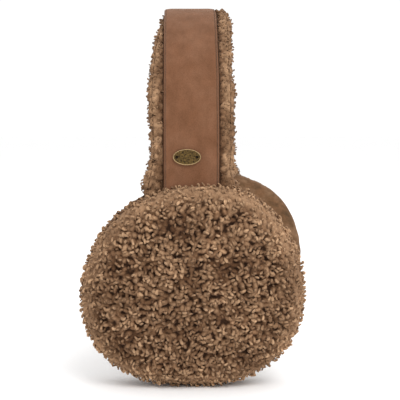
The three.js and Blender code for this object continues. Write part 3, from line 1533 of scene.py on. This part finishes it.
@dataclass
class EarPad:
    """One pad: dense wool body, its curls, and the puffed suede ear side."""

    side: Side
    arch: Arch
    form: PadForm
    pile: float = 2.8 * MM
    seam_pile: float = 0.4 * MM
    seam_fade: float = 3.5 * MM
    suede_wall: float = 2 * MM
    touch_gap: float = 0.3 * MM
    turns: int = 480
    cell: float = 0.70 * MM
    suede_turns: int = 192
    floor_gap: float = 0.2 * MM
    rim_from: float = 0.76
    rim_over: float = 0.18
    wall_calm: float = 0.35
    calm_from: float = 1 * MM
    calm_over: float = 6 * MM
    combing: float = 0.5
    bottom_painted_light: float = 0.16
    least_fullness: float = 0.05
    curls_from: float = 0.4
    foot_gap: float = 0.1 * MM
    face_from: float = 3 * MM
    wall_reach: float = 0.88
    face_reach: float = 0.84
    rim_reach: float = 0.82
    gathers: int = 34
    gather_height: float = 0.55
    gather_at: float = 0.90
    gather_width: float = 0.10
    # gather_highlight paints the gathers' ridges paler as a highlight.
    gather_highlight: float = 0.5
    lump_height: float = 1.5
    outward_share: float = 0.6
    # Painted highlight on the rolled rim: where it stands, how wide it is, and how strong.
    rim_highlight_at: float = 0.968
    rim_highlight_width: float = 0.018
    rub: float = 0.9

    @property
    def name(self) -> str:
        """The pad's name, near or far."""
        return self.side.name.lower()

    def build(self, suede: bpy.types.Material, wool: bpy.types.Material) -> None:
        """Builds and dresses the pad's pieces.

        Args:
            suede: The ear side's finish.
            wool: The wool's finish.
        """
        pieces = self.wool()
        for piece in pieces:
            dress(piece, wool)
        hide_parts(f"{self.name}_pad_wool")
        ear_side = self.ear_side()
        dress(ear_side, suede)
        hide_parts(f"{self.name}_pad_suede")

    def placing(self) -> Matrix:
        """Gives the turn and shift from the pad's own frame to the row frame.

        Returns:
            The matrix.
        """
        way, arch = self.side.value, self.arch
        leg_top = Vector((
            arch.mid_radius * math.cos(arch.lean),
            arch.centre_z - arch.mid_radius * math.sin(arch.lean),
        ))
        centre_y = leg_top.x - (leg_top.y - arch.pad_z) * math.tan(arch.lean)
        shift = Matrix.Translation((way * arch.twist / 2, way * centre_y, arch.pad_z))
        return shift @ Matrix.Rotation(-way * arch.lean, 4, "X")

    def spun(self, rows: Rows, turns: int) -> bmesh.types.BMesh:
        """Rolls a grid round a half-section into a pad form, in the pad's own frame.

        Args:
            rows: Reach as a share and depth in metres, from the axis and back to it.
            turns: How many steps go round.

        Returns:
            The form, with outwards along the pad's own way out.
        """
        bm = bmesh.new()
        bmesh.ops.create_grid(bm, x_segments=turns, y_segments=len(rows) - 1, size=0.5)
        way = self.side.value
        for vert in bm.verts:
            angle = 2 * math.pi * (vert.co.x + 0.5)
            reach, depth = rows[round((vert.co.y + 0.5) * (len(rows) - 1))]
            radius = reach * self.form.outline(angle)
            vert.co = Vector((radius * math.cos(angle), way * depth, radius * math.sin(angle)))
        bmesh.ops.remove_doubles(bm, verts=bm.verts[:], dist=SMALL)
        if bm.calc_volume(signed=True) < 0:
            bmesh.ops.reverse_faces(bm, faces=bm.faces[:])
        bm.normal_update()
        return bm

    def smooth_rows(self, rows: Rows, between: int) -> Rows:
        """Puts points on a smooth curve between a section's rows.

        Args:
            rows: The section.
            between: How many steps each stretch takes.

        Returns:
            The finer section, which goes through every row.
        """
        finer: Rows = []
        for number in range(len(rows) - 1):
            near = [rows[max(min(number + shift, len(rows) - 1), 0)] for shift in (-1, 0, 1, 2)]
            for step in range(between):
                t = step / between
                finer.append(tuple(
                    0.5 * (2 * b + (c - a) * t + (2 * a - 5 * b + 4 * c - d) * t**2
                           + (3 * b - a - 3 * c + d) * t**3)
                    for a, b, c, d in zip(*near)
                ))
        return [*finer, rows[-1]]

    def evenly(self, rows: Rows, step: float) -> Rows:
        """Walks a section in even steps.

        Args:
            rows: The section.
            step: The length of a step.

        Returns:
            The section's points, from its first to its last.
        """
        places = np.array(rows)
        lengths = np.hypot(np.diff(places[:, 0]) * self.form.half_height, np.diff(places[:, 1]))
        run = np.concatenate([[0], np.cumsum(lengths)])
        walk = np.linspace(0, run[-1], int(run[-1] / step))
        return list(zip(np.interp(walk, run, places[:, 0]), np.interp(walk, run, places[:, 1])))

    def inset(self, rows: Rows, distance: float) -> Rows:
        """Sets a section in by a distance.

        Args:
            rows: The section, whose inside is to the right when walked in order.
            distance: How far in.

        Returns:
            The section behind it.
        """
        size = self.form.half_height
        moved = []
        for number, (reach, depth) in enumerate(rows):
            before, after = rows[max(number - 1, 0)], rows[min(number + 1, len(rows) - 1)]
            across, along = (after[0] - before[0]) * size, after[1] - before[1]
            length = math.hypot(across, along)
            inner = max(reach - distance * along / length / size, 0.0)
            moved.append((0.0 if reach == 0 else inner, depth + distance * across / length))
        return moved

    def section(self, rows: tuple[Pair, ...]) -> Rows:
        """Gives one of the form's sections in metres."""
        return [(reach, depth * MM) for reach, depth in rows]

    def placed(self, bm: bmesh.types.BMesh, lowest: float) -> bpy.types.Mesh:
        """Moves a form from the pad's own frame to the row frame and makes its mesh.

        Args:
            bm: The form, which is freed.
            lowest: The least height above the floor.

        Returns:
            The mesh.
        """
        bmesh.ops.transform(bm, matrix=self.placing(), verts=bm.verts[:])
        for vert in bm.verts:
            vert.co.z = max(vert.co.z, lowest)
        bm.normal_update()
        return mesh_from(bm, self.name)

    def wool(self) -> list[bpy.types.Object]:
        """Builds the stuffed pad with its nubs, and the curls over its face and wall.

        Returns:
            The closed stuffed piece, the face's curls and the rim's curls.
        """
        suede_rows = self.smooth_rows(self.section(self.form.suede_rows), 2)
        filling = self.inset(suede_rows, self.suede_wall + self.touch_gap)
        foot = self.form.seam + self.touch_gap
        wool_rows = self.smooth_rows(self.section(self.form.wool_rows), 3)
        shell, near_seam = [], self.inset(wool_rows, self.seam_pile)
        for close, deep in zip(near_seam, self.inset(wool_rows, self.pile)):
            share = slope(deep[1], foot, self.seam_fade)
            shell.append((close[0] + (deep[0] - close[0]) * share, max(deep[1], foot)))
        bm = self.spun([*filling, *self.evenly(shell, self.cell)], self.turns)
        mesh = self.placed(bm, self.floor_gap)
        body = make_object(f"{self.name}_pad_wool_body", mesh)

        placing = self.placing()
        back, turn = placing.inverted(), placing.to_3x3()
        local = [back @ Vector(point) for point in coordinates(mesh)]
        depth = np.array([self.side.value * point.y for point in local])
        angles = [math.atan2(point.z, point.x) for point in local]
        reach = np.array([
            math.hypot(point.x, point.z) / self.form.outline(angle)
            for point, angle in zip(local, angles)
        ])
        rim = np.clip((reach - self.rim_from) / self.rim_over, 0, 1)
        calm = np.clip((depth - self.calm_from) / self.calm_over, 0, 1)
        rim = rim * rim * (3 - 2 * rim) * (self.wall_calm + (1 - self.wall_calm) * calm)
        tangents = np.array([(turn @ Vector((-math.sin(a), 0, math.cos(a))))[:] for a in angles])
        combing = tangents * (self.combing * rim)[:, None]
        fullness = np.clip((depth - foot) / self.seam_fade, self.least_fullness, 1)
        # Painted light: the rim's lower half is paler, as light bounced up from the floor.
        shade = -self.bottom_painted_light * rim * np.maximum(-np.sin(angles), 0)
        growth = Growth(combing, rim, fullness, shade)
        is_wall = (depth > self.face_from) | (reach > self.wall_reach)
        wool_side = (depth > foot + self.foot_gap) & is_wall
        normals = mesh_normals(mesh)
        Ground(seed=40 + self.side.value).raise_on(mesh, wool_side, growth)
        curls = [
            Fleece(seed=seed + self.side.value).grow(
                f"{self.name}_pad_{part}_curls",
                Skin.of(mesh, wool_side & keep & (fullness > self.curls_from), growth, normals),
            )
            for part, seed, keep in (
                ("face", 21, reach < self.face_reach), ("rim", 31, reach > self.rim_reach)
            )
        ]
        return [body, *curls]

    def gather(self, angle: float) -> float:
        """Gives the height of the suede's gathers in a direction.

        Args:
            angle: The direction, from +X towards up.

        Returns:
            From -1 in a fold to 1 on a ridge, and weaker in places.
        """
        wander = 0.5 * math.sin(3 * angle + 1) + 0.35 * math.sin(7 * angle)
        strength = 0.6 + 0.4 * math.sin(5 * angle + 2)
        return strength * math.sin(self.gathers * angle + 2.2 * wander)

    def ear_side(self) -> bpy.types.Object:
        """Builds the puffed suede with gathers round its rim.

        Returns:
            The suede, with its painted highlights on the gathers' ridges and the rolled rim.
        """
        rows = self.smooth_rows(self.section(self.form.suede_rows), 5)
        inner = self.inset(rows, self.suede_wall)
        inner[-1] = (inner[-1][0], self.form.seam)
        bm = self.spun([*rows, *reversed(inner)], self.suede_turns)
        inwards = Vector((0, -self.side.value, 0))
        painted_highlights = []
        for vert in bm.verts:
            angle = math.atan2(vert.co.z, vert.co.x)
            reach = math.hypot(vert.co.x, vert.co.z) / self.form.outline(angle)
            gather = self.gather(angle) * hump(reach, self.gather_at, self.gather_width)
            lump = 0.5 * swell(vert.co, 18 * MM, 6.0) + 0.2 * swell(vert.co, 7 * MM, 7.0)
            lump *= self.lump_height * min(1.0, 1.6 * (1 - reach) + 0.3)
            outward = Vector((vert.co.x, 0, vert.co.z)).normalized() * min(reach, 1)
            way = outward * self.outward_share + inwards * (1 - 0.5 * reach)
            vert.co += way * (self.gather_height * gather + lump) * MM
            # Painted highlights: the rolled rim and the gathers' ridges are paler.
            rim = max(0.0, 1 - abs(reach - self.rim_highlight_at) / self.rim_highlight_width)
            painted_highlights.append(min(1.0, max(0.0, self.gather_highlight * gather + self.rub * rim)))
        mesh = self.placed(bm, 0.0)
        set_attribute(mesh, "rub", np.array(painted_highlights))
        return make_object(f"{self.name}_pad_ear_side", mesh)


# ---- Badge ---------------------------------------------------------------------------

UPRIGHT = Matrix.Rotation(math.radians(90), 4, "X")


@dataclass
class Badge:
    """The oval plate: a raised rim round a bare stippled field, with two little holes."""

    rim: float = 0.4 * MM
    drop: float = 0.45 * MM
    hole_radius: float = 0.75 * MM
    hole_depth: float = 0.6 * MM
    hole_spacing: float = 10 * MM
    deepest: float = -0.8
    step: float = 0.2 * MM
    ring: float = 0.55 * MM
    rings: int = 3
    rounding: float = 0.18 * MM
    corners: int = 96

    def build(self, brass: bpy.types.Material) -> None:
        """Builds and dresses the plate.

        Args:
            brass: Its finish.
        """
        plate = self.plate()
        dress(plate, brass)
        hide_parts("badge_plate")

    def plate(self) -> bpy.types.Object:
        """Builds the plate where the frame has it.

        Returns:
            The plate, with how high each place stands.
        """
        low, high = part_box("badge_plate")
        size, middle = high - low, (high + low) / 2
        bm = bmesh.new()
        bmesh.ops.create_circle(bm, cap_ends=True, segments=self.corners, radius=0.5)
        bmesh.ops.scale(bm, vec=(size.x, size.z, 1), verts=bm.verts[:])
        bm.faces.ensure_lookup_table()
        lifted, face = extruded(bm, bm.faces[:])
        bmesh.ops.translate(bm, vec=(0, 0, size.y), verts=lifted)
        insets = [(self.rim, 0.0), (self.step, -self.drop), *[(self.ring, 0.0)] * self.rings]
        for width, depth in insets:
            bmesh.ops.inset_region(
                bm, faces=[face], thickness=width, depth=depth, use_even_offset=True
            )
        bm.normal_update()
        top = size.y - SMALL
        ridge = [
            edge for edge in bm.edges
            if all(vert.co.z > top for vert in edge.verts) and len(edge.link_faces) == 2
            and any(abs(side.normal.z) < 0.9 for side in edge.link_faces)
        ]
        bevelled(bm, ridge, self.rounding, 3)
        bm.normal_update()
        bmesh.ops.recalc_face_normals(bm, faces=bm.faces[:])
        shift = Matrix.Translation((middle.x, high.y, middle.z))
        bmesh.ops.transform(bm, matrix=shift @ UPRIGHT, verts=bm.verts[:])
        plate = make_object("badge", mesh_from(bm, "badge", smooth=False))
        field_y = high.y - size.y + self.drop
        self.drill(plate, Vector((middle.x, field_y, middle.z)))
        points = coordinates(plate.data)
        stands = (field_y - points[:, 1]) / self.drop
        set_attribute(plate.data, "rub", np.clip(stands, self.deepest, 1))
        return plate

    def drill(self, plate: bpy.types.Object, field_middle: Vector) -> None:
        """Sinks the two holes, each down to the dark head of its rivet.

        Args:
            plate: The plate.
            field_middle: The middle of its sunk field, on the surface.
        """
        bm = bmesh.new()
        for way in (-1, 1):
            across = Vector((way * self.hole_spacing / 2, 0, 0))
            place = Matrix.Translation(field_middle + across)
            bmesh.ops.create_cone(
                bm, cap_ends=True, segments=24, radius1=self.hole_radius, radius2=self.hole_radius,
                depth=self.hole_depth * 2, matrix=place @ UPRIGHT,
            )
        if bm.calc_volume(signed=True) < 0:
            bmesh.ops.reverse_faces(bm, faces=bm.faces[:])
        drill = make_object("drill", mesh_from(bm, "drill"))
        cut = plate.modifiers.new("holes", "BOOLEAN")
        cut.operation = "DIFFERENCE"
        cut.object = drill
        cut.solver = "MANIFOLD"
        with_modifiers(plate)
        bpy.data.objects.remove(drill)


# ---- Studio --------------------------------------------------------------------------


@dataclass(frozen=True)
class Studio:
    """The pale floor, the soft light and the camera."""

    eye: Triple = (-0.0144, -0.675, 0.1396)
    aim: Triple = (-0.0012, 0.0, 0.0896)
    lens: float = 107.3
    floor_size: float = 12.0
    floor_colour: Triple = (0.95, 0.95, 0.95)
    lit_height: float = 0.09
    sky_strength: float = 1.05

    def build(self) -> None:
        """Sets up everything that isn't part of the object."""
        self.camera()
        self.floor()
        self.light("key", (0.30, -0.80, 0.80), 0.6, 6.5)
        self.light("top", (0.1, 0.15, 1.1), 0.7, 1.4)
        self.light("back", (0.3, 1.2, 0.8), 0.9, 3.0)
        self.sky()

    def camera(self) -> None:
        """Places the camera and makes it the scene's."""
        data = bpy.data.cameras.new("camera")
        data.lens = self.lens
        data.sensor_width = 36
        eye = bpy.data.objects.new("camera", data)
        eye.location = self.eye
        towards = Vector(self.aim) - Vector(self.eye)
        eye.rotation_euler = towards.to_track_quat("-Z", "Y").to_euler()
        bpy.context.scene.collection.objects.link(eye)
        bpy.context.scene.camera = eye

    def floor(self) -> None:
        """Lays the pale floor."""
        bm = bmesh.new()
        bmesh.ops.create_grid(bm, x_segments=2, y_segments=2, size=self.floor_size / 2)
        floor = make_object("floor", mesh_from(bm, "floor"))
        shader = Shader("floor_finish")
        shader.set(Base_Color=self.floor_colour, Roughness=0.9, Specular_IOR_Level=0.1)
        floor.data.materials.append(shader.material)

    def light(self, name: str, place: Triple, size: float, power: float) -> None:
        """Hangs one soft lamp aimed at the object.

        Args:
            name: Its name.
            place: Where it hangs.
            size: How wide it is.
            power: Its power in watts.
        """
        data = bpy.data.lights.new(name, "AREA")
        data.size = size
        data.energy = power
        lamp = bpy.data.objects.new(name, data)
        lamp.location = place
        towards = Vector((0, 0, self.lit_height)) - Vector(place)
        lamp.rotation_euler = towards.to_track_quat("-Z", "Y").to_euler()
        bpy.context.scene.collection.objects.link(lamp)

    def sky(self) -> None:
        """Fills the room with even white light."""
        world = bpy.data.worlds.new("room")
        world.use_nodes = True
        background = world.node_tree.nodes["Background"]
        background.inputs["Color"].default_value = (1, 1, 1, 1)
        background.inputs["Strength"].default_value = self.sky_strength
        bpy.context.scene.world = world
        bpy.context.scene.view_settings.view_transform = "Standard"


def main() -> None:
    """Builds the earmuffs piece by piece."""
    logging.basicConfig(level=logging.INFO, format="%(name)s %(message)s")
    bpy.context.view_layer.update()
    Studio().build()
    wool = WoolFinish().build()
    strap_suede = SuedeFinish(
        (0.136, 0.060, 0.030), (0.152, 0.069, 0.036), (0.168, 0.079, 0.043), "strap_suede_finish",
        patch_size=10 * MM, streak_size=4 * MM, streak_strength=0.20, streak_stretch=(1.0, 2.0, 2.0),
    ).build()
    pad_suede = SuedeFinish(
        (0.078, 0.043, 0.021), (0.124, 0.065, 0.032), (0.190, 0.110, 0.062), "pad_suede_finish",
        patch_size=9 * MM, streak_size=2.6 * MM, streak_strength=0.6, streak_stretch=(2.6, 1.0, 1.0),
    ).build()
    arch = Arch(top=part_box("suede_strap")[1].z)
    Headband(arch).build(strap_suede, wool)
    near_form = PadForm(Bulge(share=0.030, toward=-16, width=30))
    far_form = PadForm(Bulge(share=-0.05, toward=64, width=24))
    EarPad(Side.NEAR, arch, near_form).build(pad_suede, wool)
    EarPad(Side.FAR, arch, far_form, pile=3.7 * MM, seam_fade=4.5 * MM).build(pad_suede, wool)
    Badge().build(BrassFinish().build())


if __name__ == "__main__":
    main()
